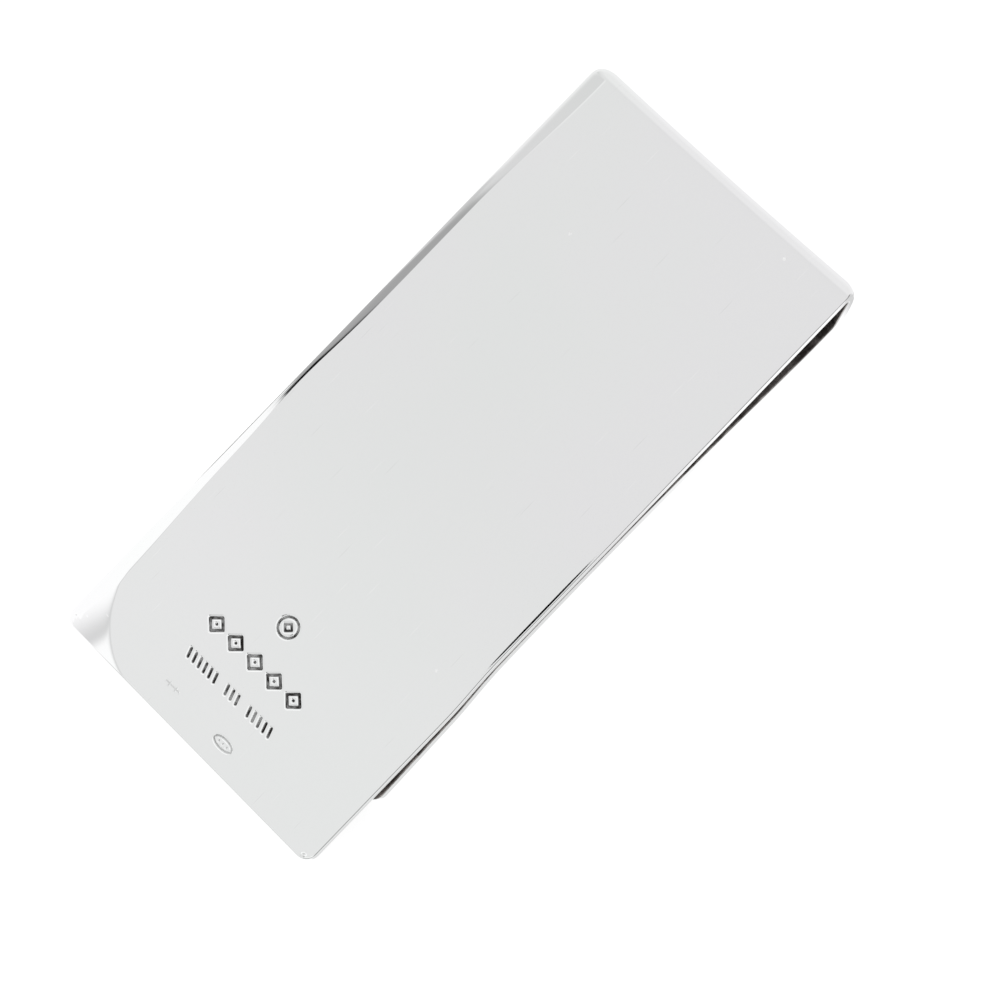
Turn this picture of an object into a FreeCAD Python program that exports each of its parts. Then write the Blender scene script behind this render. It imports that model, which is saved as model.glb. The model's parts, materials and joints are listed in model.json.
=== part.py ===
import FreeCAD, Part
import math
import os

# One-piece money clip: a strip of spring-hard silver folded over on itself. Millimetres, +Z up.
# The clip lies on its front arm, with the long back plate on top. +X points to the fold, and the
# strip's width runs along Y. The origin is the bottom centre of the whole clip's box.
# The strip is first laid out from the seam between plate and fold, with the plate level.

Vector = FreeCAD.Vector
Placement = FreeCAD.Placement
Rotation = FreeCAD.Rotation
X_AXIS = Vector(1, 0, 0)
Y_AXIS = Vector(0, 1, 0)
Z_AXIS = Vector(0, 0, 1)

# The strip.
CLIP_LENGTH = 52.5  # outside of the fold to the back plate's open end
STRIP_WIDTH = 23.6
STRIP_THICKNESS = 1.1
EDGE_ROUND = 0.35  # along every long edge, and round both free ends
END_CORNER = 0.9  # the corners of both free ends, seen from above
FOLD_CORNER = 1.3  # the corners of the fold, seen from above

# The side profile. Radii are of the inner face, which looks into the note gap.
FOLD_RADIUS = 0.3  # of the tight turn under the back plate
FOLD_TURN = 120.0  # of that turn, which leaves the end wall leaning in towards the open end
HEEL_RADIUS = 0.5  # where the end wall turns into the front arm
FOLD_GAP = 2.8  # under the back plate, at the heel
BELLY_RADIUS = 20.0  # beyond the heel, where the front arm starts to close on the back plate
CLOSING_ANGLE = 9.5  # of the front arm's straight run, towards the back plate
CONTACT_RADIUS = 95.0  # of the swell that grips the notes
CONTACT_GAP = 0.12  # least space between the arms at rest
LIP_ANGLE = 7.0  # of the flared lip, away from the back plate
FRONT_LENGTH = 46.9  # outside of the fold to the lip's tip

HALF_TURN = 180.0
THIRD_TURN = 120.0  # about the diagonal of X, Y and Z, this takes X to Y and Y to Z


def section():
    """The strip's cross-section at x = 0: inner face on z = 0, outer face on z = STRIP_THICKNESS."""
    core = Part.makePlane(
        STRIP_WIDTH - 2 * EDGE_ROUND,
        STRIP_THICKNESS - 2 * EDGE_ROUND,
        Vector(EDGE_ROUND - STRIP_WIDTH / 2, EDGE_ROUND, 0),
    )
    face = core.makeOffset2D(EDGE_ROUND)
    width_along_y = Rotation(X_AXIS + Y_AXIS + Z_AXIS, THIRD_TURN)
    face.Placement = Placement(Vector(), width_along_y).multiply(face.Placement)
    return face


def straight(length):
    """A level run of strip along +X."""
    return section().extrude(X_AXIS * length)


def turn_centre(radius):
    """The centre of a turn that starts at x = 0. A negative radius turns towards the outer face."""
    return Vector(0, 0, -radius)


def turn(radius, degrees):
    """A curved run of strip that leaves x = 0 along +X."""
    return section().revolve(turn_centre(radius), Y_AXIS, degrees)


def end_corners(block):
    """The two upright edges at a block's +X end."""
    boxes = [(edge, edge.BoundBox) for edge in block.Edges]
    return [edge for edge, box in boxes if box.XMin > EDGE_ROUND and box.YLength < EDGE_ROUND]


def rim(block):
    """The level edges of a block, apart from those of its face at x = 0."""
    boxes = [(edge, edge.BoundBox) for edge in block.Edges]
    return [edge for edge, box in boxes if box.XMax > EDGE_ROUND and box.ZLength < EDGE_ROUND]


def free_end(length):
    """A level run of strip along +X that ends in two rounded corners and a rounded rim."""
    blank = Part.makeBox(
        length, STRIP_WIDTH, STRIP_THICKNESS, Vector(0, -STRIP_WIDTH / 2, 0)
    )
    blank = blank.makeFillet(END_CORNER, end_corners(blank))
    return blank.makeFillet(EDGE_ROUND, rim(blank))


def after_straight(place, length):
    """Where the strip goes on after a straight run."""
    return place.multiply(Placement(X_AXIS * length, Rotation()))


def after_turn(place, radius, degrees):
    """Where the strip goes on after a turn."""
    return place.multiply(
        Placement(Vector(), Rotation(Y_AXIS, degrees), turn_centre(radius))
    )


def moved(shape, place):
    """A copy of a shape, carried by a placement."""
    return shape.transformed(place.toMatrix(), True)


def joined(shapes):
    """One clean solid from runs of strip that meet face to face."""
    return shapes[0].multiFuse(shapes[1:]).removeSplitter()


def fold_corner_limit():
    """Everything inside the fold's outline as seen from above, with its two rounded corners."""
    reach = 2 * CLIP_LENGTH
    outside = FOLD_RADIUS + STRIP_THICKNESS
    blank = Part.makeBox(
        reach, STRIP_WIDTH, reach, Vector(outside - reach, -STRIP_WIDTH / 2, -reach / 2)
    )
    return blank.makeFillet(FOLD_CORNER, end_corners(blank))


def back_plate():
    """The long flat arm, from the fold to its open end at -X."""
    length = CLIP_LENGTH - FOLD_RADIUS - STRIP_THICKNESS
    return moved(free_end(length), Placement(Vector(), Rotation(Z_AXIS, HALF_TURN)))


def turn_depth(radius, degrees):
    """How far a turn that starts or ends level reaches down."""
    return radius * (1 - math.cos(math.radians(degrees)))


def fold_bend():
    """The fold with its leaning end wall, the belly beyond it, and where the front arm goes on."""
    heel_turn = HALF_TURN - FOLD_TURN
    wall_depth = FOLD_GAP - turn_depth(FOLD_RADIUS, FOLD_TURN) - turn_depth(HEEL_RADIUS, heel_turn)
    wall_length = wall_depth / math.sin(math.radians(FOLD_TURN))
    wall_start = after_turn(Placement(), FOLD_RADIUS, FOLD_TURN)
    heel_start = after_straight(wall_start, wall_length)
    belly_start = after_turn(heel_start, HEEL_RADIUS, heel_turn)
    tight = turn(FOLD_RADIUS, FOLD_TURN)
    wall = moved(straight(wall_length), wall_start)
    heel = moved(turn(HEEL_RADIUS, heel_turn), heel_start)
    fold = joined([tight, wall, heel]).common(fold_corner_limit())
    belly = moved(turn(BELLY_RADIUS, CLOSING_ANGLE), belly_start)
    return joined([fold, belly]), after_turn(belly_start, BELLY_RADIUS, CLOSING_ANGLE)


def front_arm(start):
    """The sprung arm: a straight run, the swell that grips, and the flared lip. Also the lip's start."""
    gap_before = FOLD_GAP - turn_depth(BELLY_RADIUS, CLOSING_ANGLE)
    gap_after = CONTACT_GAP + turn_depth(CONTACT_RADIUS, CLOSING_ANGLE)
    run_length = (gap_before - gap_after) / math.sin(math.radians(CLOSING_ANGLE))
    swell_turn = CLOSING_ANGLE + LIP_ANGLE
    swell_start = after_straight(start, run_length)
    lip_start = after_turn(swell_start, -CONTACT_RADIUS, -swell_turn)
    tip_x = FOLD_RADIUS + STRIP_THICKNESS - FRONT_LENGTH
    lip_length = (lip_start.Base.x - tip_x) / math.cos(math.radians(LIP_ANGLE))
    run = moved(straight(run_length), start)
    swell = moved(turn(-CONTACT_RADIUS, -swell_turn), swell_start)
    lip = moved(free_end(lip_length), lip_start)
    return joined([run, swell, lip]), after_straight(lip_start, lip_length)


def rest_tilt(belly_end, lip_tip):
    """The turn about Y that brings the belly and the lip's rounded tip down to one level."""
    belly_centre = belly_end.multVec(turn_centre(BELLY_RADIUS))
    tip_centre = lip_tip.multVec(Vector(-EDGE_ROUND, 0, STRIP_THICKNESS - EDGE_ROUND))
    apart = belly_centre - tip_centre
    radius_difference = BELLY_RADIUS + STRIP_THICKNESS - EDGE_ROUND
    level = math.acos(radius_difference / math.hypot(apart.x, apart.z))
    return math.degrees(level - math.atan2(apart.x, apart.z))


def rest_placement(shapes, tilt):
    """Carries the clip from its layout to where it lies, with the origin at its bottom centre."""
    tilted = Placement(Vector(), Rotation(Y_AXIS, tilt))
    whole = Part.makeCompound([moved(shape, tilted) for shape in shapes])
    box = whole.optimalBoundingBox(False, False)
    to_origin = Vector(-(box.XMin + box.XMax) / 2, 0, -box.ZMin)
    return Placement(to_origin, Rotation()).multiply(tilted)


def report_point(name, point, direction):
    """Prints a place and a direction of the clip at rest."""
    place = ", ".join(f"{value:.4f}" for value in point)
    way = ", ".join(f"{value:.6f}" for value in direction)
    print(f"{name}: at ({place}), along ({way})")


def main():
    bend, arm_start = fold_bend()
    arm, lip_tip = front_arm(arm_start)
    nodes = {"back_plate": back_plate(), "fold_bend": bend, "front_arm": arm}
    at_rest = rest_placement(list(nodes.values()), rest_tilt(arm_start, lip_tip))
    os.makedirs("parts", exist_ok=True)
    for name, shape in nodes.items():
        moved(shape, at_rest).exportStep(os.path.join("parts", name + ".step"))
    plate_middle = Vector(FOLD_RADIUS + STRIP_THICKNESS - CLIP_LENGTH / 2, 0, STRIP_THICKNESS)
    mouth_middle = Vector(lip_tip.Base.x, 0, lip_tip.Base.z / 2)
    report_point("flex axis", at_rest.multVec(turn_centre(FOLD_RADIUS)), Y_AXIS)
    report_point("back face", at_rest.multVec(plate_middle), at_rest.Rotation.multVec(Z_AXIS))
    report_point("note mouth", at_rest.multVec(mouth_middle), at_rest.Rotation.multVec(-X_AXIS))


main()
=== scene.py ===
import bpy
import json
import math
from collections import Counter

import numpy as np
from mathutils import Matrix, Vector


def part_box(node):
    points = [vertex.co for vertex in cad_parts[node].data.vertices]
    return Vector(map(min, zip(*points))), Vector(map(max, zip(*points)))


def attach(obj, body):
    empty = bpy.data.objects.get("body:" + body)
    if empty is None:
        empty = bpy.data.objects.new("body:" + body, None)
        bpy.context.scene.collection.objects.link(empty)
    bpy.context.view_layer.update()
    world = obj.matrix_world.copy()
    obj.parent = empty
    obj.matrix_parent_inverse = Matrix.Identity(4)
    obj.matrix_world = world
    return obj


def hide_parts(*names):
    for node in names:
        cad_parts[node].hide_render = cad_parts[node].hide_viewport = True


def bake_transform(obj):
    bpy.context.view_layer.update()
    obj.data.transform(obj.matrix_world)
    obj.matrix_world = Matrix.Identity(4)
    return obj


# The looks of a one-piece money clip in polished silver. Lengths are in millimetres and become metres
# when a mesh is made. The strip is shaped in its own coordinates: s runs along its inner face, zero at
# the seam between back plate and fold, y runs across it, and h is the height over the inner face.

MM = 0.001
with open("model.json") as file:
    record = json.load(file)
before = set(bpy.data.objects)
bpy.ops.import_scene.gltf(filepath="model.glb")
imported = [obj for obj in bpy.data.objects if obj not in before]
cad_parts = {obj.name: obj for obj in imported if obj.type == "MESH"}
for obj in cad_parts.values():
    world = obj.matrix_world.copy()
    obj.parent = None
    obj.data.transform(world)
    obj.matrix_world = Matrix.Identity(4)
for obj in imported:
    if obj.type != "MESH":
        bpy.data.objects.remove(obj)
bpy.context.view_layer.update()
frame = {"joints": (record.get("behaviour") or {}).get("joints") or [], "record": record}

# ---- Sizes of the clip, the same as the CAD model's ----
plate_low, plate_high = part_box("back_plate")
STRIP_WIDTH = (plate_high.y - plate_low.y) / MM
HALF_WIDTH = STRIP_WIDTH / 2
STRIP_THICKNESS = 1.1
CLIP_LENGTH = 52.5
FOLD_RADIUS = 0.3
FOLD_TURN = math.radians(120.0)
HEEL_RADIUS = 0.5
FOLD_GAP = 2.8
BELLY_RADIUS = 20.0
CLOSING_ANGLE = math.radians(9.5)
CONTACT_RADIUS = 95.0
CONTACT_GAP = 0.12
LIP_ANGLE = math.radians(7.0)
FRONT_LENGTH = 46.9
OUTER_FOLD_RADIUS = FOLD_RADIUS + STRIP_THICKNESS
PLATE_LENGTH = CLIP_LENGTH - OUTER_FOLD_RADIUS

# ---- Finish of the edges ----
INNER_ROUND = 0.3  # under the back plate
ARM_INNER_ROUND = 0.12  # beyond it, down the fold and along the front arm
SHARP_ROUND = 0.14  # the outer edge on the -Y side
SOFT_ROUND = 0.8  # the outer edge on the +Y side, polished rounder
SOFT_DEPTH = 0.57
END_DEPTH = 0.4  # its depth at the open end
SOFT_AT_FOLD = 0.6  # how much wider it is beside the fold
SOFT_NEAR_END = 0.5  # and a few millimetres before the open end
SOFT_LOST = 0.8  # the share of that which is gone at the end itself
SOFT_NECK = 0.3  # how much narrower it is halfway along
NECK_S = -28.6
NECK_REACH = 4.5
END_ROUND = 0.1
END_CORNER = 0.9
FOLD_CORNER = 1.3  # seen from above
FOLD_CORNER_DEPTH = 0.78
CORNER_EASE = 0.96  # below 1, this keeps the corner's rounding from coming to a crease
FOLD_HOLLOW = 0.13  # how much lower the middle of the fold's outside is than its corners

# ---- How finely each piece is meshed ----
ROUND_STEPS = 8
STAMP_STEP = 0.045
CORNER_STEP = 0.16
PLAIN_STEP = 0.8
INNER_STEP = 1.6
WALL_STEP = 0.3
ARM_STEP = 0.4
TIGHT_ROWS = 49
HEEL_ROWS = 25
SIDE_MARGIN = 1.0  # how far in from each edge the coarse spacing starts
SOFT_MARGIN = 1.6
END_MARGIN = 1.2
EDGE_ZONE = 1.5  # nearer to an edge than this, the columns follow the outline
SLOPE_STEP = 2e-4  # half the distance over which a slope is measured
TINY = 1e-9  # keeps a divisor from being zero


def smooth(value, low, high):
    """0 below low, 1 above high, and a smooth rise between them."""
    t = np.clip((value - low) / (high - low), 0, 1)
    return t * t * (3 - 2 * t)


# ---- The side profile ----
def turn_depth(radius, angle):
    """How far a turn that starts or ends level reaches down."""
    return radius * (1 - math.cos(angle))


def profile_segments():
    """The strip beyond the seam, as (length, inner radius) with no radius for a straight run."""
    closing = CLOSING_ANGLE
    heel_turn = math.pi - FOLD_TURN
    wall_depth = FOLD_GAP - turn_depth(FOLD_RADIUS, FOLD_TURN) - turn_depth(HEEL_RADIUS, heel_turn)
    wall = wall_depth / math.sin(FOLD_TURN)
    gap_before = FOLD_GAP - turn_depth(BELLY_RADIUS, closing)
    gap_after = CONTACT_GAP + turn_depth(CONTACT_RADIUS, closing)
    run = (gap_before - gap_after) / math.sin(closing)
    swell = CONTACT_RADIUS * (closing + LIP_ANGLE)
    lip_start = (
        (FOLD_RADIUS - HEEL_RADIUS) * math.sin(FOLD_TURN)
        + wall * math.cos(FOLD_TURN)
        - BELLY_RADIUS * math.sin(closing)
        - run * math.cos(closing)
        - CONTACT_RADIUS * (math.sin(closing) + math.sin(LIP_ANGLE))
    )
    lip = (lip_start - (OUTER_FOLD_RADIUS - FRONT_LENGTH)) / math.cos(LIP_ANGLE)
    return [
        (FOLD_RADIUS * FOLD_TURN, FOLD_RADIUS),
        (wall, None),
        (HEEL_RADIUS * heel_turn, HEEL_RADIUS),
        (BELLY_RADIUS * closing, BELLY_RADIUS),
        (run, None),
        (swell, -CONTACT_RADIUS),
        (lip, None),
    ]


SEGMENTS = profile_segments()
TIGHT_END = SEGMENTS[0][0]
WALL_END = TIGHT_END + SEGMENTS[1][0]
HEEL_END = WALL_END + SEGMENTS[2][0]
FOLD_END = HEEL_END + SEGMENTS[3][0]
ARM_END = sum(length for length, radius in SEGMENTS)


def on_profile(s):
    """Place, heading and curvature of the inner face at each s. The back plate lies at s below 0."""
    place = np.stack([s, np.zeros_like(s)], axis=-1)
    heading = np.zeros_like(s)
    bend = np.zeros_like(s)
    start, at, turned = 0.0, np.zeros(2), 0.0
    for length, radius in SEGMENTS:
        here = (s > start) if start == 0 else (s >= start)
        along = np.clip(s[here] - start, 0, None)
        if radius is None:
            angle = np.full_like(along, turned)
            way = np.array([math.cos(turned), -math.sin(turned)])
            place[here] = at + along[:, None] * way
            end_turn = turned
            end_at = at + length * way
        else:
            angle = turned + along / radius
            centre = at - radius * np.array([math.sin(turned), math.cos(turned)])
            place[here] = centre + radius * np.stack([np.sin(angle), np.cos(angle)], axis=-1)
            end_turn = turned + length / radius
            end_at = centre + radius * np.array([math.sin(end_turn), math.cos(end_turn)])
        heading[here] = angle
        bend[here] = 0.0 if radius is None else 1.0 / radius
        start, at, turned = start + length, end_at, end_turn
    return place, heading, bend


# The -Y edge of both arms stands out a little further towards the open end.
WIDER_BY = 0.18
WIDER_X = (33.0, 38.0)  # this far from the seam

joint = frame["joints"][0]
back_face = next(m for m in frame["record"]["mounts"] if m["name"] == "back_face")
TILT = math.atan2(back_face["axis"][0], back_face["axis"][2])
FOLD_CENTRE = Vector(joint["pos_m"]) / MM


def to_row(points):
    """Carries points of the level layout, whose fold centre is (0, 0, -FOLD_RADIUS), to the row frame."""
    turn = np.array(Matrix.Rotation(TILT, 3, "Y"))
    return (points + np.array([0, 0, FOLD_RADIUS])) @ turn.T + np.array(FOLD_CENTRE)


def swept(s, y, h):
    """Points of the strip in the row frame, in millimetres."""
    place, heading, _ = on_profile(s)
    x = place[:, 0] + h * np.sin(heading)
    z = place[:, 1] + h * np.cos(heading)
    wider = WIDER_BY * smooth(-x, *WIDER_X) * np.clip(-y / HALF_WIDTH, 0, 1) ** 4
    return to_row(np.stack([x, y - wider, z], axis=-1))


def swept_direction(s, h, along, across, up):
    """Directions given along the strip, across it and out of its outer face, in the row frame."""
    _, heading, bend = on_profile(s)
    along = along / (1 + bend * h)
    x = along * np.cos(heading) + up * np.sin(heading)
    z = -along * np.sin(heading) + up * np.cos(heading)
    turn = np.array(Matrix.Rotation(TILT, 3, "Y"))
    way = np.stack([x, across, z], axis=-1) @ turn.T
    return way / np.linalg.norm(way, axis=1)[:, None]


# ---- The stamped marks: plain ornament of strokes, each a list of (s, y) points ----
PLATE_END = -PLATE_LENGTH
STROKE = 0.085  # half the width of a stroke of the large row


def lozenge(centre_s, centre_y, half_s, half_y):
    """A diamond outline."""
    return [
        (centre_s + half_s, centre_y),
        (centre_s, centre_y + half_y),
        (centre_s - half_s, centre_y),
        (centre_s, centre_y - half_y),
        (centre_s + half_s, centre_y),
    ]


def ring(centre_s, centre_y, radius_s, radius_y, sides=28):
    """An oval outline."""
    turns = [2 * math.pi * i / sides for i in range(sides + 1)]
    return [(centre_s + radius_s * math.cos(a), centre_y + radius_y * math.sin(a)) for a in turns]


def dot(centre_s, centre_y):
    """A stroke of no length."""
    return [(centre_s, centre_y), (centre_s, centre_y)]


def large_row():
    """Five diamonds with dots in them."""
    s = PLATE_END + 7.0
    strokes = []
    for i in range(5):
        y = (i - 2) * 1.85
        strokes.append(lozenge(s, y, 0.58, 0.62))
        strokes.append(dot(s, y))
    return strokes, STROKE, 0.13


def ring_mark():
    """A small ring round a diamond."""
    s = PLATE_END + 10.2
    return [ring(s, 0.0, 0.72, 0.72), lozenge(s, 0.0, 0.32, 0.32)], 0.07, 0.1


def small_row():
    """Three groups of slanted ticks."""
    s, y = PLATE_END + 4.4, -4.05
    half_height, lean, step, gap = 0.28, 0.1, 0.5, 0.62
    strokes = []
    for ticks in (5, 3, 6):
        for i in range(ticks):
            middle = y + step * i
            strokes.append([(s - half_height, middle - lean), (s + half_height, middle + lean)])
        y += step * ticks + gap
    return strokes, 0.08, 0.1


def oval_punch():
    """A faint oval with three dots in it."""
    s, y = PLATE_END + 1.7, -2.3
    strokes = [ring(s, y, 0.33, 0.78)]
    strokes += [dot(s, y + step) for step in (-0.35, 0.0, 0.35)]
    return strokes, 0.045, 0.05


def faint_mark():
    """A worn bar with two notches."""
    s, y = PLATE_END + 2.0, 2.9
    return [
        [(s, y - 0.6), (s, y + 0.6)],
        [(s - 0.14, y - 0.3), (s + 0.14, y - 0.3)],
        [(s - 0.14, y + 0.3), (s + 0.14, y + 0.3)],
    ], 0.035, 0.03


MARKS = [large_row(), ring_mark(), small_row(), oval_punch(), faint_mark()]
STAMP_S = (PLATE_END + 1.1, PLATE_END + 11.2)
STAMP_MARGIN = 0.25
STAMP_Y = (-4.7, 4.7)
DULL_FROM = (0.0, 0.08)  # how far in from its edges the inner face stops being polished and takes its tarnish and painted shade
WALL = 0.05  # how wide the slanted wall of a stroke is
RIM_SHARE = 0.1  # of a stroke's depth, how high its rim stands
OXIDE_DEPTH = 0.09  # marks this deep hold all their oxide
FAR = 1e9


def distance_to_stroke(s, y, points):
    """Distance from each place to a line of points."""
    nearest = np.full_like(s, FAR)
    for (s0, y0), (s1, y1) in zip(points, points[1:]):
        ds, dy = s1 - s0, y1 - y0
        length = ds * ds + dy * dy
        t = np.clip(((s - s0) * ds + (y - y0) * dy) / length, 0, 1) if length > 0 else 0.0
        nearest = np.minimum(nearest, np.hypot(s - s0 - t * ds, y - y0 - t * dy))
    return nearest


def engraved(s, y):
    """Depth of the stamped marks, with the faint raised rim that a punch leaves."""
    depth = np.zeros_like(s)
    near = (s > STAMP_S[0]) & (s < STAMP_S[1]) & (np.abs(y) < STAMP_Y[1])
    if not near.any():
        return depth
    sn, yn = s[near], y[near]
    cut, rim = np.zeros_like(sn), np.zeros_like(sn)
    for strokes, half, deep in MARKS:
        distance = np.full_like(sn, FAR)
        for points in strokes:
            distance = np.minimum(distance, distance_to_stroke(sn, yn, points))
        cut = np.maximum(cut, deep * (1 - smooth(distance, half - WALL / 2, half + WALL / 2)))
        rim = np.maximum(rim, RIM_SHARE * deep * np.exp(-(((distance - half - WALL) / WALL) ** 2)))
    depth[near] = cut - rim
    return depth


# ---- Wear of the outer face ----
ROLL_WIDTH = 0.632
ROLL_RADIUS = 2.4
ROLL_FADE_S = (-2.5, -0.5)
WORN_ALONG = 10.5  # the oval that polishing has left of the flat face, at its open +Y corner
WORN_ACROSS = 6.8
WORN_SLOPE = 0.085
WORN_SOFT = 0.12
NICK_AT = (0.3, 0.6)  # in from the open end and from the -Y side
NICK_RADIUS = 0.12
NICK_DEPTH = 0.06


def worn(s, y):
    """How far polishing has lowered the outer face, at its -Y edge and its open +Y corner."""
    from_low_side = HALF_WIDTH + y
    along = 1 - smooth(s, *ROLL_FADE_S)
    roll = np.clip(ROLL_WIDTH - from_low_side, 0, None) ** 2 / (2 * ROLL_RADIUS) * along
    from_end = s - PLATE_END
    past_end = np.clip(1 - from_end / WORN_ALONG, 0, None)
    past_side = np.clip(1 - (HALF_WIDTH - y) / WORN_ACROSS, 0, None)
    past = (np.hypot(past_end, past_side) - 1) * WORN_ACROSS
    corner = WORN_SLOPE * (past + np.hypot(past, WORN_SOFT)) / 2
    nick = np.hypot(from_end - NICK_AT[0], from_low_side - NICK_AT[1]) / NICK_RADIUS
    return roll + corner + NICK_DEPTH * np.exp(-(nick**2))


# ---- Sheets: the outer and the inner face, as heights over the plan of the strip ----
class Plan:
    """One stretch of strip from start to end along s, with a free end where its end says so."""

    def __init__(self, start, end, free, outer_round, inner_round, extra=None, stamped=False):
        self.start, self.end, self.free = start, end, free
        self.outer_round, self.inner_round = outer_round, inner_round
        self.extra, self.stamped = extra, stamped

    def from_free_end(self, s):
        if self.free is None:
            return np.full_like(s, FAR)
        return s - self.start if self.free == "start" else self.end - s

    def half_width(self, s):
        e = np.clip(END_CORNER - self.from_free_end(s), 0, END_CORNER)
        return HALF_WIDTH - END_CORNER + np.sqrt(END_CORNER**2 - e**2)

    def signed_inset(self, s, y):
        """Distance in from the outline, and how much of it is measured from the free end."""
        e = self.from_free_end(s)
        side = HALF_WIDTH - np.abs(y)
        q_end, q_side = END_CORNER - e, END_CORNER - side
        in_corner = (q_end > 0) & (q_side > 0)
        corner = np.hypot(q_end, q_side)
        inset = np.where(in_corner, END_CORNER - corner, np.minimum(e, side))
        share = np.where(in_corner, (q_end / np.maximum(corner, TINY)) ** 2, (e < side).astype(float))
        return inset, share

    def inset(self, s, y):
        """The same, with no distance below zero."""
        inset, share = self.signed_inset(s, y)
        return np.maximum(inset, 0), share

    def roundness(self, s, y, outer):
        """How wide and how deep the edge is rounded there."""
        _, share = self.inset(s, y)
        wide, deep = (self.outer_round if outer else self.inner_round)(s, y)
        return wide * (1 - share) + END_ROUND * share, deep * (1 - share) + END_ROUND * share

    def lowered(self, s, y):
        return np.zeros_like(s) if self.extra is None else self.extra(s, y)

    def outer_height(self, s, y):
        inset, _ = self.inset(s, y)
        wide, deep = self.roundness(s, y, True)
        q = np.clip(1 - inset / wide, 0, 1)
        return STRIP_THICKNESS - deep * (1 - np.sqrt(1 - q * q)) - self.lowered(s, y)

    def inner_height(self, s, y):
        inset, _ = self.inset(s, y)
        wide, deep = self.roundness(s, y, False)
        q = np.clip(1 - inset / wide, 0, 1)
        return deep * (1 - np.sqrt(1 - q * q))

    def field(self, s, y, h, outer):
        """Zero on the face and growing outwards, so that its slope is the face's normal."""
        inset, _ = self.signed_inset(s, y)
        wide, deep = self.roundness(s, y, outer)
        up = h + self.lowered(s, y) - STRIP_THICKNESS + deep if outer else deep - h
        return np.hypot(np.clip(1 - inset / wide, 0, None), np.clip(up / deep, 0, None))

    def normals(self, s, y, h, outer):
        step = SLOPE_STEP
        slopes = []
        for ds, dy, dh in ((step, 0, 0), (0, step, 0), (0, 0, step)):
            ahead = self.field(s + ds, y + dy, h + dh, outer)
            behind = self.field(s - ds, y - dy, h - dh, outer)
            slopes.append((ahead - behind) / (2 * step))
        return swept_direction(s, h, *slopes)


def even(low, high, step):
    """Evenly spaced values from low to high, no further apart than step."""
    return np.linspace(low, high, max(2, math.ceil((high - low) / step) + 1))


def rounding_share():
    """Insets that sample a quarter circle evenly, from 0 to 1."""
    angles = np.linspace(0, math.pi / 2, ROUND_STEPS + 1)
    return 1 - np.cos(angles)


def stations_across(plan, s, outer, middle):
    """The y of each column at one s: two rounded edges and the middle between them."""
    half = float(plan.half_width(np.array([s]))[0])
    sides = []
    for side in (-1, 1):
        edge_round = plan.outer_round if outer else plan.inner_round
        wide, _ = edge_round(np.array([s]), np.array([side * HALF_WIDTH]))
        sides.append(float(wide[0]) * rounding_share())
    low = -half + sides[0]
    high = half - sides[1]
    inner_low, inner_high = low[-1], high[-1]
    span_low, span_high = middle[0], middle[-1]
    scaled = (middle - span_low) / (span_high - span_low)
    kept = inner_low + scaled * (inner_high - inner_low)
    core = np.clip((HALF_WIDTH - np.abs(middle) - EDGE_ZONE) / EDGE_ZONE, 0, 1)
    kept = core * middle + (1 - core) * kept
    return np.concatenate([low, kept[1:-1], high[::-1]])


def sheet_grid(plan, along, outer, middle):
    """s, y and h of every vertex of one face."""
    rows = [stations_across(plan, s, outer, middle) for s in along]
    y = np.array(rows)
    s = np.repeat(along[:, None], y.shape[1], axis=1)
    flat_s, flat_y = s.ravel(), y.ravel()
    h = (plan.outer_height if outer else plan.inner_height)(flat_s, flat_y)
    return flat_s, flat_y, h, y.shape


def perimeter(shape):
    """Vertex numbers along the sides of a grid, in the order start, +Y, end, -Y."""
    rows, columns = shape
    number = np.arange(rows * columns).reshape(rows, columns)
    return [number[0, :], number[:, -1], number[-1, ::-1], number[::-1, 0]]


def zipped(first, second, first_at, second_at):
    """Triangles between two lines of vertices that run the same way."""
    faces = []
    i = j = 0
    while i < len(first) - 1 or j < len(second) - 1:
        take_first = j == len(second) - 1 or (i < len(first) - 1 and first_at[i + 1] <= second_at[j + 1])
        if take_first:
            faces.append((first[i], second[j], first[i + 1]))
            i += 1
        else:
            faces.append((first[i], second[j], second[j + 1]))
            j += 1
    return faces


def seam_direction(s, sign):
    """Which way the cut face at a seam looks."""
    one, none = np.ones(1), np.zeros(1)
    return swept_direction(np.array([s]), none, sign * one, none, none)[0]


def sheet_faces(shape, first, flip):
    """The quads of one face of the strip, whose vertices are numbered from first."""
    rows, columns = shape
    number = np.arange(rows * columns).reshape(rows, columns) + first
    corners = [number[:-1, :-1], number[1:, :-1], number[1:, 1:], number[:-1, 1:]]
    quads = np.stack([c.ravel() for c in corners], axis=-1)
    return (quads[:, ::-1] if flip else quads).tolist()


def share_along(values):
    """How far along a line each of its values is, from 0 to 1."""
    return np.abs(values - values[0]) / max(abs(values[-1] - values[0]), TINY)


def wall_faces(plan, outer, inner):
    """The walls between the two faces, and for each the direction of the seam it lies in, or None."""
    start_seam = None if plan.free == "start" else seam_direction(plan.start, -1)
    end_seam = None if plan.free == "end" else seam_direction(plan.end, 1)
    faces, seams = [], []
    sides = zip(perimeter(outer[3]), perimeter(inner[3]), (1, 0, 1, 0), (start_seam, None, end_seam, None))
    for top, bottom, axis, seam in sides:
        top_at = share_along(outer[axis][top])
        bottom_at = share_along(inner[axis][bottom])
        made = zipped(list(top), list(bottom + len(outer[0])), top_at, bottom_at)
        faces += made
        seams += [seam] * len(made)
    return faces, seams


def paint(mesh, name, values):
    """Stores a number for each vertex, which the material reads."""
    layer = mesh.attributes.new(name, "FLOAT", "POINT")
    layer.data.foreach_set("value", values.astype(np.float32))


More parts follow.
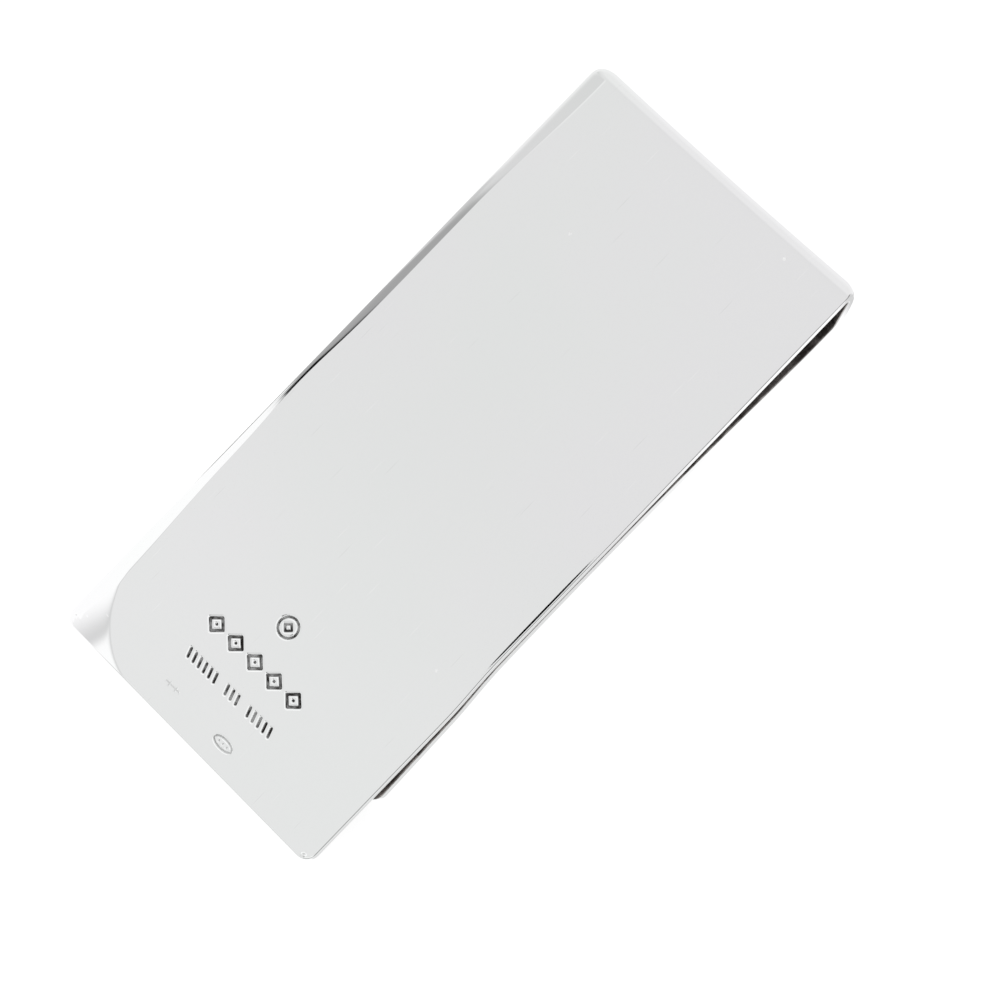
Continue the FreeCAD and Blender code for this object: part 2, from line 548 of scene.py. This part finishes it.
def strip_piece(name, plan, outer_along, inner_along, outer_middle, inner_middle, material):
    """One closed piece of the strip, with its true normals and the depth of its marks."""
    outer = sheet_grid(plan, outer_along, True, outer_middle)
    inner = sheet_grid(plan, inner_along, False, inner_middle)
    count = len(outer[0])
    points = np.concatenate([swept(*outer[:3]), swept(*inner[:3])])
    normals = np.concatenate([plan.normals(*outer[:3], True), plan.normals(*inner[:3], False)])
    sheets = sheet_faces(outer[3], 0, False) + sheet_faces(inner[3], count, True)
    walls, seams = wall_faces(plan, outer, inner)
    flat = [None] * len(sheets) + seams
    faces = [facing_out(face, points, normals, seam) for face, seam in zip(sheets + walls, flat)]
    mesh = bpy.data.meshes.new(name)
    mesh.from_pydata((points * MM).tolist(), [], faces)
    mesh.update()
    shade(mesh, normals, flat)
    stamped = engraved(outer[0], outer[1]) if plan.stamped else np.zeros(count)
    depth = np.concatenate([stamped, np.zeros(len(inner[0]))])
    paint(mesh, "recess", np.clip(depth / OXIDE_DEPTH, 0, 1))
    from_edge, _ = plan.inset(inner[0], inner[1])
    paint(mesh, "inner_face", np.concatenate([np.zeros(count), smooth(from_edge, *DULL_FROM)]))
    mesh.materials.append(material)
    piece = bpy.data.objects.new(name, mesh)
    bpy.context.scene.collection.objects.link(piece)
    return piece


def facing_out(face, points, normals, seam):
    """The face's vertices, in the order that makes it look away from the metal."""
    face = [int(i) for i in face]
    a, b, c = points[face[0]], points[face[1]], points[face[2]]
    own = np.cross(b - a, c - a)
    if len(face) == 4:
        own = np.cross(c - a, points[face[3]] - b)
    expected = seam if seam is not None else normals[face].sum(axis=0)
    return face[::-1] if own @ expected < 0 else face


def shade(mesh, normals, flat):
    """Gives every corner its true normal, or its seam's, with a sharp edge round each seam."""
    mesh.polygons.foreach_set("use_smooth", [True] * len(mesh.polygons))
    uses = Counter()
    for face, seam in zip(mesh.polygons, flat):
        if seam is not None:
            uses.update(face.edge_keys)
    for edge in mesh.edges:
        edge.use_edge_sharp = uses[edge.key] == 1
    corner_normals = []
    for face, seam in zip(mesh.polygons, flat):
        for i in face.vertices:
            corner_normals.append(tuple(normals[i] if seam is None else seam))
    mesh.normals_split_custom_set(corner_normals)


def plate_outer_round(s, y):
    """Sharp along -Y, and soft along +Y, more so beside the fold and at the open end."""
    beside_fold = SOFT_AT_FOLD * smooth(s, -12.0, 0.0) * (1 - smooth(s, 0.0, HEEL_END))
    to_end = smooth(-s, 35.0, 50.0)
    near_end = SOFT_NEAR_END * smooth(-s, 36.0, 47.0) * (1 - SOFT_LOST * smooth(-s, 47.0, 50.2))
    neck = SOFT_NECK * np.exp(-(((s - NECK_S) / NECK_REACH) ** 2))
    soft = SOFT_ROUND + beside_fold + near_end - neck
    deep = SOFT_DEPTH + (END_DEPTH - SOFT_DEPTH) * to_end
    low = y < 0
    return np.where(low, SHARP_ROUND, soft), np.where(low, SHARP_ROUND, deep)


def plate_inner_round(s, y):
    wide = np.full_like(s, INNER_ROUND)
    return wide, wide


def arm_inner_round(s, y):
    """The plate's rounding at the seam, and sharper from the end of the tight turn on."""
    wide = INNER_ROUND + (ARM_INNER_ROUND - INNER_ROUND) * smooth(s, 0.0, TIGHT_END)
    return wide, wide


def fold_outer_round(s, y):
    """Rounder at the outside of the fold, which gives its corners their shape seen from above."""
    wide, deep = plate_outer_round(s, y)
    place, heading, _ = on_profile(s)
    inward = OUTER_FOLD_RADIUS - place[:, 0] - STRIP_THICKNESS * np.sin(heading)
    near = CORNER_EASE * np.clip(1 - inward / FOLD_CORNER, 0, 1)
    swell = (1 - np.sqrt(1 - near**2)) / (1 - math.sqrt(1 - CORNER_EASE**2))
    return wide + (FOLD_CORNER - wide) * swell, deep + (FOLD_CORNER_DEPTH - deep) * swell


def plate_lowered(s, y):
    return worn(s, y) + engraved(s, y)


def fold_lowered(s, y):
    """The fold's outside is slightly hollow across its middle."""
    _, heading, _ = on_profile(s)
    return FOLD_HOLLOW * (1 - (y / HALF_WIDTH) ** 2) * np.sin(np.minimum(heading, math.pi)) ** 2


# ---- Materials ----
def node(tree, kind, links=(), **settings):
    """A new node with its settings and input values, fed by links from input to another node's output."""
    made = tree.nodes.new(kind)
    for name, value in settings.items():
        if name in made.inputs:
            made.inputs[name].default_value = value
        else:
            setattr(made, name, value)
    for target, source in dict(links).items():
        tree.links.new(source, made.inputs[target])
    return made


def ramp(tree, value, stops):
    """A colour for each value, from (position, colour) stops."""
    made = node(tree, "ShaderNodeValToRGB", {"Fac": value})
    points = made.color_ramp.elements
    while len(points) < len(stops):
        points.new(1.0)
    for point, (position, colour) in zip(points, stops):
        point.position = position
        point.color = (*colour, 1)
    return made.outputs["Color"]


def mixed(tree, share, first, second):
    """Two colours mixed. Each is a colour or a link."""
    made = node(tree, "ShaderNodeMix", data_type="RGBA")
    tree.links.new(share, made.inputs[0])
    for socket, colour in ((made.inputs[6], first), (made.inputs[7], second)):
        if isinstance(colour, tuple):
            socket.default_value = (*colour, 1)
        else:
            tree.links.new(colour, socket)
    return made.outputs[2]


def mixed_number(tree, share, first, second):
    """Two numbers mixed. The first is a link."""
    made = node(tree, "ShaderNodeMix", {0: share, 2: first}, data_type="FLOAT")
    made.inputs[3].default_value = second
    return made.outputs[0]


def product(tree, first, second):
    """Two links multiplied, or a link multiplied by a number."""
    made = node(tree, "ShaderNodeMath", {0: first}, operation="MULTIPLY")
    if isinstance(second, float):
        made.inputs[1].default_value = second
    else:
        tree.links.new(second, made.inputs[1])
    return made.outputs[0]


def below(tree, value, limit, soft):
    """1 well below a limit, 0 well above it."""
    made = node(tree, "ShaderNodeMapRange", {"Value": value}, interpolation_type="SMOOTHSTEP")
    made.inputs["From Min"].default_value = limit + soft
    made.inputs["From Max"].default_value = limit - soft
    return made.outputs["Result"]


def hairlines(tree, place, turn, seed):
    """1 on a few fine straight scratches that all run one way."""
    laid = node(tree, "ShaderNodeMapping", {"Vector": place})
    laid.inputs["Location"].default_value = (seed, seed, 0.0)
    laid.inputs["Rotation"].default_value = (0.0, 0.0, turn)
    laid.inputs["Scale"].default_value = (260.0, 9000.0, 60.0)
    cells = node(tree, "ShaderNodeTexVoronoi", {"Vector": laid.outputs["Vector"]}, feature="F1", Scale=1.0)
    thin = below(tree, cells.outputs["Distance"], 0.16, 0.06)
    picked = node(tree, "ShaderNodeSeparateColor", {"Color": cells.outputs["Color"]})
    return product(tree, thin, below(tree, picked.outputs["Red"], 0.05, 0.01))


def specks(tree, place):
    """1 on a few tiny round dents."""
    cells = node(tree, "ShaderNodeTexVoronoi", {"Vector": place}, feature="F1", Scale=420.0)
    small = below(tree, cells.outputs["Distance"], 0.05, 0.02)
    picked = node(tree, "ShaderNodeSeparateColor", {"Color": cells.outputs["Color"]})
    return product(tree, small, below(tree, picked.outputs["Green"], 0.14, 0.01))


def noise(tree, place, scale, detail, roughness=0.5):
    """A procedural noise value."""
    settings = {"Scale": scale, "Detail": detail, "Roughness": roughness}
    return node(tree, "ShaderNodeTexNoise", {"Vector": place}, **settings).outputs["Fac"]


def silver_material():
    """Mirror-polished silver with handling marks lightened as painted glints, oxide in its marks, and
    tarnish with painted shade inside the fold.
    """
    material = bpy.data.materials.new("polished_silver")
    material.use_nodes = True
    tree = material.node_tree
    shader = tree.nodes["Principled BSDF"]
    shader.inputs["Metallic"].default_value = 1.0
    place = node(tree, "ShaderNodeTexCoord").outputs["Object"]
    recess = node(tree, "ShaderNodeAttribute", attribute_name="recess").outputs["Fac"]
    inside = node(tree, "ShaderNodeAttribute", attribute_name="inner_face").outputs["Fac"]

    # Slow drift between a cool and a warm tone, with a fine grain on top of it.
    drift = noise(tree, place, 60.0, 3.0)
    cool, plain, warm = (0.872, 0.886, 0.880), (0.880, 0.888, 0.886), (0.886, 0.884, 0.892)
    tone = ramp(tree, drift, [(0.35, cool), (0.5, plain), (0.65, warm)])
    grain = noise(tree, place, 5200.0, 2.0)
    grained = mixed(tree, product(tree, grain, 0.12), tone, (0.80, 0.80, 0.80))

    # Scratches and dents catch the light: one set of scratches and the dents are painted lighter as
    # painted highlights, and the cross scratches are drawn darker.
    scratch_glints = hairlines(tree, place, math.radians(38.0), 3.1)
    cross_marks = hairlines(tree, place, math.radians(-52.0), 7.7)
    dents_and_glints = specks(tree, place)
    handled_and_glints = mixed(tree, product(tree, scratch_glints, 0.5), grained, (0.97, 0.97, 0.97))
    handled_and_glints = mixed(tree, product(tree, cross_marks, 0.5), handled_and_glints, (0.74, 0.74, 0.74))
    handled_and_glints = mixed(tree, dents_and_glints, handled_and_glints, (0.99, 0.99, 0.99))

    # Oxide in the stamped marks, polished away in places, and brown tarnish where no wheel reaches, made
    # darker as painted shade in the gap between the arms.
    patchy = node(tree, "ShaderNodeMapRange", {"Value": noise(tree, place, 1500.0, 2.0)})
    patchy.inputs["From Min"].default_value = 0.35
    patchy.inputs["From Max"].default_value = 0.6
    patchy.inputs["To Min"].default_value = 0.55
    oxide = mixed(tree, product(tree, recess, patchy.outputs["Result"]), handled_and_glints, (0.03, 0.027, 0.026))
    blotches = noise(tree, place, 900.0, 4.0, 0.6)
    # The dark end of this ramp is painted shade on the inner faces between the arms.
    tarnish_and_gap_shade = ramp(tree, blotches, [(0.4, (0.1, 0.088, 0.083)), (0.65, (0.42, 0.39, 0.375))])
    tree.links.new(mixed(tree, inside, oxide, tarnish_and_gap_shade), shader.inputs["Base Color"])

    polish = node(tree, "ShaderNodeMapRange", {"Value": drift})
    polish.inputs["To Min"].default_value = 0.02
    polish.inputs["To Max"].default_value = 0.05
    rough = mixed_number(tree, dents_and_glints, polish.outputs["Result"], 0.35)
    rough = mixed_number(tree, recess, rough, 0.5)
    rough = mixed_number(tree, inside, rough, 0.38)
    tree.links.new(rough, shader.inputs["Roughness"])

    bump = node(tree, "ShaderNodeBump", {"Height": product(tree, grain, inside)})
    bump.inputs["Distance"].default_value = 0.00002
    bump.inputs["Strength"].default_value = 0.6
    tree.links.new(bump.outputs["Normal"], shader.inputs["Normal"])
    return material


# ---- The clip ----
def stamped_stretches():
    """The stretches of s that hold marks, as (low, high)."""
    stretches = []
    for strokes, _, _ in MARKS:
        reach = [s for points in strokes for s, _ in points]
        stretches.append((min(reach) - STAMP_MARGIN, max(reach) + STAMP_MARGIN))
    return stretches


def merged(values):
    """Sorted values with no repeats."""
    return np.unique(np.round(np.concatenate(values), 4))


def plate_rows():
    """The s of each row over the back plate: fine where there are marks."""
    worn_part = even(PLATE_END + END_MARGIN, STAMP_S[1], CORNER_STEP)
    coarse = merged([worn_part, even(STAMP_S[1] + 0.3, 0.0, PLAIN_STEP)])
    fine = []
    for low, high in stamped_stretches():
        coarse = coarse[(coarse < low) | (coarse > high)]
        fine.append(even(low, high, STAMP_STEP))
    fine = merged(fine)
    spaced = np.concatenate([[True], np.diff(fine) > STAMP_STEP / 3])
    return merged([PLATE_END + NEAR_END, coarse, fine[spaced]])


def across(low_round, high_round, *middle):
    """The y of each column between two rounded edges."""
    low_side = even(-HALF_WIDTH + low_round, -HALF_WIDTH + 0.8, 0.06)
    high_side = even(HALF_WIDTH - 1.4, HALF_WIDTH - high_round, 0.1)
    return merged([low_side, *middle, high_side])


INNER_MIDDLE = even(-HALF_WIDTH + SIDE_MARGIN, HALF_WIDTH - SIDE_MARGIN, INNER_STEP)
PLAIN_MIDDLE = across(
    SHARP_ROUND, SOFT_ROUND, even(-HALF_WIDTH + SIDE_MARGIN, HALF_WIDTH - SOFT_MARGIN, PLAIN_STEP)
)
NEAR_END = merged([END_ROUND * rounding_share(), END_CORNER * rounding_share()])


def finished(cad_node):
    """Hides the CAD node that a piece stands for."""
    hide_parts(cad_node)


def make_back_plate(material):
    middle = across(
        SHARP_ROUND,
        SOFT_ROUND,
        even(-HALF_WIDTH + SIDE_MARGIN, STAMP_Y[0] - 0.2, PLAIN_STEP / 2),
        even(STAMP_Y[0], STAMP_Y[1], STAMP_STEP),
        even(STAMP_Y[1] + 0.15, HALF_WIDTH - SOFT_MARGIN, CORNER_STEP),
    )
    inner_rows = merged([PLATE_END + NEAR_END, even(PLATE_END + END_MARGIN, 0.0, PLAIN_STEP)])
    rounds = (plate_outer_round, plate_inner_round)
    plan = Plan(PLATE_END, 0.0, "start", *rounds, plate_lowered, stamped=True)
    grids = (plate_rows(), inner_rows, middle, INNER_MIDDLE)
    piece = strip_piece("polished_back_plate", plan, *grids, material)
    finished("back_plate")
    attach(piece, "back_plate")


def make_fold(material):
    bends = [
        np.linspace(0.0, TIGHT_END, TIGHT_ROWS),
        even(TIGHT_END, WALL_END, WALL_STEP),
        np.linspace(WALL_END, HEEL_END, HEEL_ROWS),
        even(HEEL_END, FOLD_END, ARM_STEP),
    ]
    rows = merged(bends)
    plan = Plan(0.0, FOLD_END, None, fold_outer_round, arm_inner_round, fold_lowered)
    piece = strip_piece("polished_fold", plan, rows, rows, PLAIN_MIDDLE, INNER_MIDDLE, material)
    finished("fold_bend")
    return piece


def make_front_arm(material):
    rows = merged([even(FOLD_END, ARM_END - END_MARGIN, ARM_STEP), ARM_END - NEAR_END])
    plan = Plan(FOLD_END, ARM_END, "end", plate_outer_round, arm_inner_round)
    piece = strip_piece("polished_front_arm", plan, rows, rows, PLAIN_MIDDLE, INNER_MIDDLE, material)
    finished("front_arm")
    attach(piece, "front_arm")


def blend_fold(piece):
    """Bakes the fold's placement into its mesh."""
    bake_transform(piece)


def make_clip():
    silver = silver_material()
    make_back_plate(silver)
    fold = make_fold(silver)
    make_front_arm(silver)
    blend_fold(fold)


# ---- Camera ----
CAMERA_AZIMUTH = math.radians(-12.0)
CAMERA_ELEVATION = math.radians(77.3)
CAMERA_ROLL = math.radians(-34.0)
CAMERA_DISTANCE = 180.0
CAMERA_AIM = Vector((-0.15, -3.9, 2.385))
FOCAL_LENGTH = 96.81
SENSOR = 36.0


def camera_back():
    """The direction from the clip to the camera."""
    return Vector(
        (
            math.sin(CAMERA_AZIMUTH) * math.cos(CAMERA_ELEVATION),
            -math.cos(CAMERA_AZIMUTH) * math.cos(CAMERA_ELEVATION),
            math.sin(CAMERA_ELEVATION),
        )
    )


def make_camera():
    data = bpy.data.cameras.new("camera")
    data.sensor_width = SENSOR
    data.lens = FOCAL_LENGTH
    data.clip_start = 0.005
    data.clip_end = 10.0
    camera = bpy.data.objects.new("camera", data)
    back = camera_back()
    right = (-back).cross(Vector((0, 0, 1))).normalized()
    up = right.cross(-back)
    rolled_right = math.cos(CAMERA_ROLL) * right + math.sin(CAMERA_ROLL) * up
    rolled_up = -math.sin(CAMERA_ROLL) * right + math.cos(CAMERA_ROLL) * up
    axes = Matrix((rolled_right, rolled_up, back)).transposed()
    camera.matrix_world = Matrix.Translation((CAMERA_AIM + back * CAMERA_DISTANCE) * MM) @ axes.to_4x4()
    bpy.context.scene.collection.objects.link(camera)
    bpy.context.scene.camera = camera


# ---- Floor, backdrop, lens and light ----
FLOOR_RADIUS = 3000.0
DOME_RADIUS = 2500.0
LENS_RADIUS = 10.0
LENS_BEHIND = 12.0


def emission_material(name, strength):
    material = bpy.data.materials.new(name)
    material.use_nodes = True
    tree = material.node_tree
    tree.nodes.clear()
    light = node(tree, "ShaderNodeEmission", Color=(1, 1, 1, 1), Strength=strength)
    node(tree, "ShaderNodeOutputMaterial", {"Surface": light.outputs["Emission"]})
    return material


def staged(name, points, faces, material):
    """A piece of the set, from points in millimetres."""
    mesh = bpy.data.meshes.new(name)
    mesh.from_pydata([tuple(p * MM) for p in points], [], faces)
    mesh.materials.append(material)
    made = bpy.data.objects.new(name, mesh)
    bpy.context.scene.collection.objects.link(made)
    return made


def circle(centre, facing, radius, sides=48):
    """Points round a circle."""
    first = facing.orthogonal().normalized()
    second = facing.normalized().cross(first)
    turns = [2 * math.pi * i / sides for i in range(sides)]
    return [centre + radius * (math.cos(a) * first + math.sin(a) * second) for a in turns]


def make_floor():
    """A white light table. It glows, so that the clip hardly shades it."""
    material = bpy.data.materials.new("light_table")
    material.use_nodes = True
    shader = material.node_tree.nodes["Principled BSDF"]
    shader.inputs["Base Color"].default_value = (0.3, 0.3, 0.3, 1)
    shader.inputs["Roughness"].default_value = 0.6
    shader.inputs["Specular IOR Level"].default_value = 0.0
    shader.inputs["Emission Color"].default_value = (1, 1, 1, 1)
    shader.inputs["Emission Strength"].default_value = 0.85
    outline = circle(Vector((0, 0, 0)), Vector((0, 0, 1)), FLOOR_RADIUS)
    floor = staged("floor", outline, [tuple(range(len(outline)))], material)
    floor.visible_glossy = False  # the silver mirrors the tent under the table instead


def make_dome():
    """The white paper behind everything, which lights nothing and isn't mirrored."""
    rings, sides = 16, 48
    points = []
    for i in range(rings + 1):
        rise = math.pi / 2 * i / (rings + 1)
        centre = Vector((0, 0, DOME_RADIUS * math.sin(rise)))
        points += circle(centre, Vector((0, 0, 1)), DOME_RADIUS * math.cos(rise), sides)
    faces = []
    for i in range(rings):
        for j in range(sides):
            low, after = i * sides, (j + 1) % sides
            faces.append((low + j, low + after, low + sides + after, low + sides + j))
    faces.append(tuple(rings * sides + j for j in range(sides)))
    dome = staged("backdrop", points, faces, emission_material("white_paper", 1.0))
    dome.visible_glossy = False
    dome.visible_diffuse = False
    dome.visible_shadow = False
    dome.visible_transmission = False


def make_lens():
    """The dark front of the camera's lens, which the clip's edge mirrors."""
    back = camera_back()
    outline = circle(CAMERA_AIM + back * (CAMERA_DISTANCE + LENS_BEHIND), back, LENS_RADIUS)
    lens = staged("lens", outline, [tuple(range(len(outline)))], emission_material("lens_black", 0.0))
    lens.visible_camera = False


# The tent seen from the clip, from straight below (0) to straight above (1).
TENT = [
    (0.0, 1.12),
    (0.47, 1.12),
    (0.5, 0.5),
    (0.53, 0.34),
    (0.64, 0.34),
    (0.8, 0.84),
    (1.0, 0.852),
]
NO_LIMIT = 2.0  # a part of a direction is never this large
BELOW, ABOVE = (-3.0, -NO_LIMIT), (NO_LIMIT, 3.0)
ANY = (*BELOW, *ABOVE)
# Patches of the tent, each over the ones before. For X, Y and Z of the direction: where it starts and is
# full, and where it begins to end and has ended. Then its brightness.
PATCHES = [
    ((*BELOW, -0.14, 0.02), ANY, (0.75, 0.85, *ABOVE), 0.893),  # the ceiling, paler to the left
    ((0.5, 0.68, *ABOVE), ANY, (-0.4, -0.1, *ABOVE), 0.84),  # right, down to the horizon
    ((0.66, 0.86, *ABOVE), ANY, (-0.4, -0.1, *ABOVE), 0.92),
    ((0.5, 0.68, *ABOVE), ANY, (*BELOW, -0.3, 0.1), 0.97),
    ((0.2, 0.35, *ABOVE), (*BELOW, -0.5, -0.3), (*BELOW, -0.2, 0.1), 0.75),
    ((*BELOW, -0.205, -0.175), ANY, (0.7, 0.8, *ABOVE), 0.74),  # left, a thin line, then white
    ((*BELOW, -0.235, -0.195), ANY, ANY, 1.12),
    ((*BELOW, -0.5, -0.38), (*BELOW, 0.3, 0.36), (0.2, 0.3, *ABOVE), 0.7),
    ((0.08, 0.12, 0.5, 0.68), (0.3, 0.41, *ABOVE), ANY, 0.96),  # behind, from right to left
    ((0.05, 0.08, 0.5, 0.68), (0.38, 0.41, *ABOVE), (-0.1, 0.6, *ABOVE), 0.77),
    ((-0.045, -0.035, 0.06, 0.1), (0.38, 0.41, *ABOVE), (-0.1, 0.5, *ABOVE), 0.42),
    ((-0.005, 0.005, 0.06, 0.08), (0.0, 0.1, *ABOVE), (*BELOW, -0.1, 0.5), 0.46),
    ((0.06, 0.08, 0.105, 0.125), (0.0, 0.1, *ABOVE), (*BELOW, -0.1, 0.5), 0.68),
    ((-0.6, -0.45, -0.052, -0.038), (0.35, 0.37, *ABOVE), (0.7, 0.8, *ABOVE), 0.74),
    ((-0.6, -0.45, -0.052, -0.038), (0.37, 0.41, *ABOVE), ANY, 1.12),
    ((-0.6, -0.45, -0.035, -0.022), (0.37, 0.41, *ABOVE), (*BELOW, 0.3, 0.55), 1.12),
    ((-0.6, -0.45, -0.022, -0.006), (0.37, 0.41, *ABOVE), (*BELOW, -0.35, -0.05), 1.12),
    ((-0.04, -0.034, 0.008, 0.022), (0.38, 0.4, 0.86, 0.92), (0.35, 0.45, *ABOVE), 0.004),  # a dark flag
    ((-0.035, -0.025, 0.003, 0.01), (0.05, 0.1, *ABOVE), (*BELOW, -0.62, -0.5), 0.1),
    (ANY, (*BELOW, -0.45, -0.3), (-0.05, 0.05, 0.3, 0.4), 0.12),  # in front, at the horizon
    ((-0.4, -0.3, 0.05, 0.13), (*BELOW, -0.02, 0.02), (*BELOW, -0.6, -0.4), 0.8),  # in front, below
    ((0.18, 0.188, 0.5, 0.6), (*BELOW, -0.02, 0.02), (*BELOW, -0.6, -0.4), 0.7),
]


def span(tree, value, start, full, ending, ended):
    """0 up to start, 1 from full to ending, and 0 from ended on, or None where there is no limit."""
    made = None
    for low, high, one_at in ((start, full, full), (ending, ended, ending)):
        if abs(low) >= NO_LIMIT:
            continue
        side = node(tree, "ShaderNodeMapRange", {"Value": value}, interpolation_type="SMOOTHSTEP")
        side.inputs["From Min"].default_value = low if one_at == high else high
        side.inputs["From Max"].default_value = one_at
        made = side.outputs["Result"] if made is None else product(tree, made, side.outputs["Result"])
    return made


def make_world():
    world = bpy.data.worlds.new("light_tent")
    bpy.context.scene.world = world
    world.use_nodes = True
    tree = world.node_tree
    way = node(tree, "ShaderNodeTexCoord").outputs["Generated"]
    parts = node(tree, "ShaderNodeSeparateXYZ", {"Vector": way}).outputs
    height = node(tree, "ShaderNodeMapRange", {"Value": parts["Z"]})
    height.inputs["From Min"].default_value = -1.0
    colour = ramp(tree, height.outputs["Result"], [(at, (shade, shade, shade)) for at, shade in TENT])
    for *limits, shade in PATCHES:
        share = None
        for axis, limit in zip("XYZ", limits):
            part = span(tree, parts[axis], *limit)
            if part is not None:
                share = part if share is None else product(tree, share, part)
        colour = mixed(tree, share, colour, (shade, shade, shade))
    tree.links.new(colour, tree.nodes["Background"].inputs["Color"])


make_camera()
make_clip()
make_floor()
make_dome()
make_lens()
make_world()
bpy.context.scene.view_settings.view_transform = "Standard"
